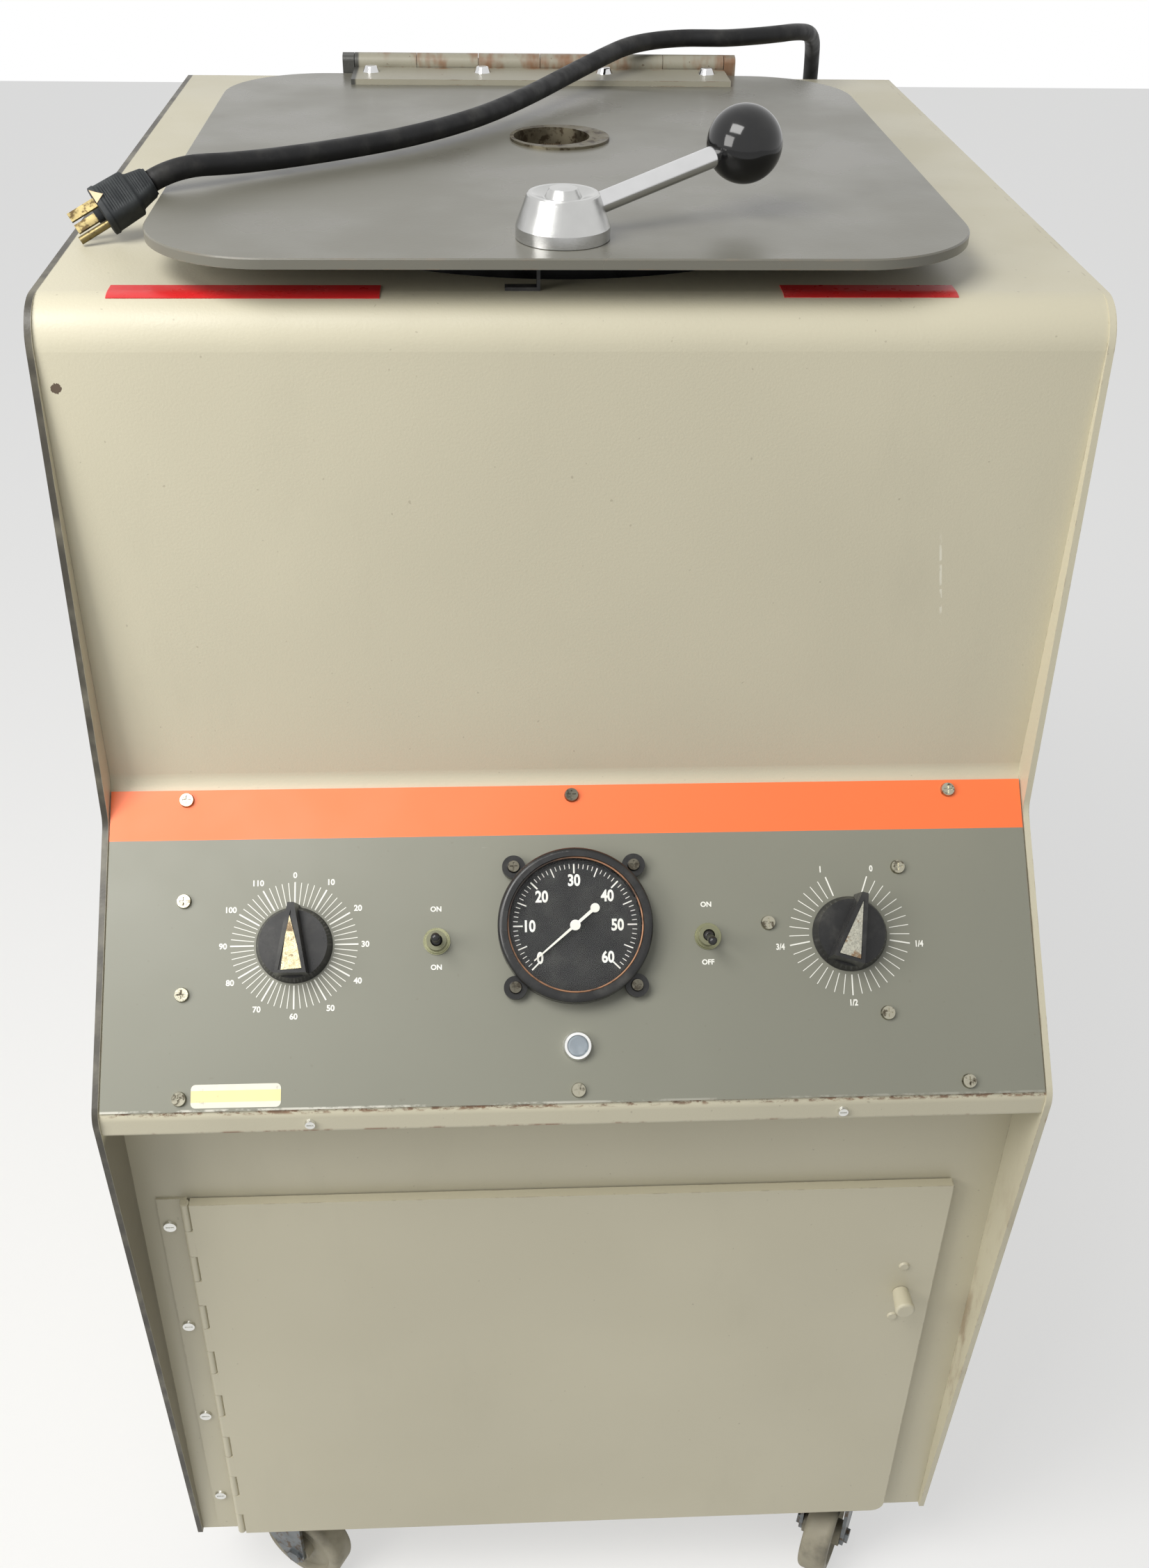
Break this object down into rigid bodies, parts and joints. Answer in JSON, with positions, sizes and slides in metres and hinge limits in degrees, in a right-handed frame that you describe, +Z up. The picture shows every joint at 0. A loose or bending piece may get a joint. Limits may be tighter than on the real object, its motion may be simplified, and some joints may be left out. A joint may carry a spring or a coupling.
{
  "type": "floor-standing centrifuge",
  "caption": "Floor-standing centrifuge: sheet-metal cabinet on swivel casters, sloped control desk, hinged lid with lever latch over a swing-out rotor, service door and mains cord.",
  "frame": {"origin": "on the floor under the middle of the cabinet's box", "axes": "+X to the right seen from the front, the front faces -Y, +Z up"},
  "size_m": [0.61, 0.9177, 1.1766],
  "materials": {
    "cabinet_paint": "baked enamel, satin, lightly textured, aged",
    "panel_paint": "baked enamel, satin, aged",
    "plate_paint": "satin enamel with an orange band along the top",
    "lid_paint": "semi-gloss enamel",
    "hinge_paint": "worn enamel, rust at the joints",
    "screw_metal": "nickel plated, dull",
    "dome_chrome": "polished",
    "knob_plastic": "moulded, glossy",
    "phenolic": "moulded phenolic",
    "nut_metal": "nickel plated",
    "lamp_glass": "frosted lens",
    "gauge_plastic": "moulded, glossy",
    "gauge_glass": "clear",
    "needle_paint": "white enamel",
    "bat_metal": "nickel plated",
    "bowl_steel": "spun stainless steel",
    "gasket_rubber": "moulded",
    "latch_metal": "turned and polished",
    "rod_chrome": "bright",
    "ball_plastic": "moulded, glossy",
    "cam_steel": "zinc plated",
    "ring_metal": "turned, oxidised",
    "screen_steel": "woven wire, dark",
    "shaft_steel": "ground",
    "head_aluminium": "cast and machined",
    "bucket_steel": "deep drawn stainless steel",
    "motor_paint": "painted dark grey",
    "mount_rubber": "moulded",
    "shelf_steel": "grey primer",
    "caster_steel": "zinc plated, dull",
    "wheel_plastic": "hard moulded, dirty",
    "cord_rubber": "smooth jacket",
    "plug_rubber": "moulded, ribbed",
    "plug_brass": "worn"
  },
  "bodies": {
    "cabinet": {"side_panel_left": "cabinet_paint", "side_panel_right": "cabinet_paint", "top_cover": "cabinet_paint", "lower_front_panel": "panel_paint", "back_panel": "cabinet_paint", "base_plate": "shelf_steel", "control_plate": "plate_paint", "panel_screws": "screw_metal", "timer_body": "phenolic", "speed_control_body": "phenolic", "toggle_bodies": "phenolic", "panel_nuts": "nut_metal", "lamp_lens": "lamp_glass", "gauge_case": "gauge_plastic", "gauge_glass": "gauge_glass", "chamber_bowl": "bowl_steel", "chamber_gasket": "gasket_rubber", "lid_hinge_base": "hinge_paint", "latch_keeper": "cam_steel", "motor": "motor_paint", "motor_mounts": "mount_rubber", "motor_shelf": "shelf_steel", "door_hinge_leaf": "panel_paint", "door_hinge_screws": "screw_metal", "caster_plates": "caster_steel", "cord_gland": "plug_rubber", "cord_behind": "cord_rubber"},
    "lid": {"lid": "lid_paint", "lid_hinge_leaf": "hinge_paint", "lid_hinge_screws": "dome_chrome", "sight_ring": "ring_metal", "sight_screen": "screen_steel", "cord_over_lid": "cord_rubber", "plug_body": "plug_rubber", "plug_prongs": "plug_brass"},
    "latch_lever": {"latch_hub": "latch_metal", "lever_rod": "rod_chrome", "ball_knob": "ball_plastic", "latch_cam": "cam_steel"},
    "timer_knob": {"timer_knob": "knob_plastic"},
    "speed_knob": {"speed_knob": "knob_plastic"},
    "power_bat": {"power_bat": "bat_metal"},
    "brake_bat": {"brake_bat": "bat_metal"},
    "gauge_pointer": {"gauge_pointer": "needle_paint"},
    "door": {"door": "panel_paint"},
    "door_knob": {"door_knob": "screw_metal"},
    "rotor": {"rotor_shaft": "shaft_steel", "rotor_head": "head_aluminium"},
    "bucket_1": {"bucket_1": "bucket_steel"},
    "bucket_2": {"bucket_2": "bucket_steel"},
    "bucket_3": {"bucket_3": "bucket_steel"},
    "bucket_4": {"bucket_4": "bucket_steel"},
    "fork_front_left": {"caster_fork_front_left": "caster_steel"},
    "wheel_front_left": {"caster_wheel_front_left": "wheel_plastic"},
    "fork_front_right": {"caster_fork_front_right": "caster_steel"},
    "wheel_front_right": {"caster_wheel_front_right": "wheel_plastic"},
    "fork_rear_left": {"caster_fork_rear_left": "caster_steel"},
    "wheel_rear_left": {"caster_wheel_rear_left": "wheel_plastic"},
    "fork_rear_right": {"caster_fork_rear_right": "caster_steel"},
    "wheel_rear_right": {"caster_wheel_rear_right": "wheel_plastic"}
  },
  "joints": [
    {"name": "lid_hinge", "type": "hinge", "parent": "cabinet", "child": "lid", "pos_m": [-0.006, 0.2745, 1.1204], "axis": [-1, 0, 0], "range_deg": [0, 95]},
    {"name": "latch_turn", "type": "hinge", "parent": "lid", "child": "latch_lever", "pos_m": [-0.008, -0.19, 1.1138], "axis": [0, 0, -1], "range_deg": [0, 90]},
    {"name": "timer_turn", "type": "hinge", "parent": "cabinet", "child": "timer_knob", "pos_m": [-0.1803, -0.31119, 0.70077], "axis": [0, 0.6857, -0.7279], "range_deg": [0, 330]},
    {"name": "speed_turn", "type": "hinge", "parent": "cabinet", "child": "speed_knob", "pos_m": [0.1793, -0.31068, 0.70125], "axis": [0, 0.6857, -0.7279], "range_deg": [-2, 323]},
    {"name": "power_switch", "type": "hinge", "parent": "cabinet", "child": "power_bat", "pos_m": [-0.0892, -0.31424, 0.70504], "axis": [-1, 0, 0], "range_deg": [-17, 17]},
    {"name": "brake_switch", "type": "hinge", "parent": "cabinet", "child": "brake_bat", "pos_m": [0.0864, -0.31424, 0.70504], "axis": [-1, 0, 0], "range_deg": [0, 34]},
    {"name": "gauge_needle", "type": "hinge", "parent": "cabinet", "child": "gauge_pointer", "pos_m": [0, -0.31041, 0.71249], "axis": [0, 0.6857, -0.7279], "range_deg": [0, 265]},
    {"name": "door_hinge", "type": "hinge", "parent": "cabinet", "child": "door", "pos_m": [-0.268, -0.3502, 0.304], "axis": [0, 0, -1], "range_deg": [0, 110]},
    {"name": "door_latch", "type": "hinge", "parent": "door", "child": "door_knob", "pos_m": [0.245, -0.3535, 0.391], "axis": [0, 1, 0], "range_deg": [0, 90]},
    {"name": "rotor_spin", "type": "hinge", "parent": "cabinet", "child": "rotor", "pos_m": [-0.008, 0.017, 0.974], "axis": [0, 0, 1], "continuous": true},
    {"name": "bucket_1_swing", "type": "hinge", "parent": "rotor", "child": "bucket_1", "pos_m": [0.05281, 0.07781, 0.987], "axis": [0.7071, -0.7071, 0], "range_deg": [0, 90]},
    {"name": "bucket_2_swing", "type": "hinge", "parent": "rotor", "child": "bucket_2", "pos_m": [-0.06881, 0.07781, 0.987], "axis": [0.7071, 0.7071, 0], "range_deg": [0, 90]},
    {"name": "bucket_3_swing", "type": "hinge", "parent": "rotor", "child": "bucket_3", "pos_m": [-0.06881, -0.04381, 0.987], "axis": [-0.7071, 0.7071, 0], "range_deg": [0, 90]},
    {"name": "bucket_4_swing", "type": "hinge", "parent": "rotor", "child": "bucket_4", "pos_m": [0.05281, -0.04381, 0.987], "axis": [-0.7071, -0.7071, 0], "range_deg": [0, 90]},
    {"name": "swivel_front_left", "type": "hinge", "parent": "cabinet", "child": "fork_front_left", "pos_m": [-0.24, -0.308, 0.09], "axis": [0, 0, 1], "continuous": true},
    {"name": "roll_front_left", "type": "hinge", "parent": "fork_front_left", "child": "wheel_front_left", "pos_m": [-0.22095, -0.319, 0.038], "axis": [0.5, 0.866, 0], "continuous": true},
    {"name": "swivel_front_right", "type": "hinge", "parent": "cabinet", "child": "fork_front_right", "pos_m": [0.24, -0.308, 0.09], "axis": [0, 0, 1], "continuous": true},
    {"name": "roll_front_right", "type": "hinge", "parent": "fork_front_right", "child": "wheel_front_right", "pos_m": [0.22967, -0.32743, 0.038], "axis": [0.8829, -0.4695, 0], "continuous": true},
    {"name": "swivel_rear_left", "type": "hinge", "parent": "cabinet", "child": "fork_rear_left", "pos_m": [-0.24, 0.3275, 0.09], "axis": [0, 0, 1], "continuous": true},
    {"name": "roll_rear_left", "type": "hinge", "parent": "fork_rear_left", "child": "wheel_rear_left", "pos_m": [-0.229, 0.34655, 0.038], "axis": [-0.866, 0.5, 0], "continuous": true},
    {"name": "swivel_rear_right", "type": "hinge", "parent": "cabinet", "child": "fork_rear_right", "pos_m": [0.24, 0.3275, 0.09], "axis": [0, 0, 1], "continuous": true},
    {"name": "roll_rear_right", "type": "hinge", "parent": "fork_rear_right", "child": "wheel_rear_right", "pos_m": [0.22967, 0.34692, 0.038], "axis": [-0.8829, -0.4695, 0], "continuous": true}
  ]
}
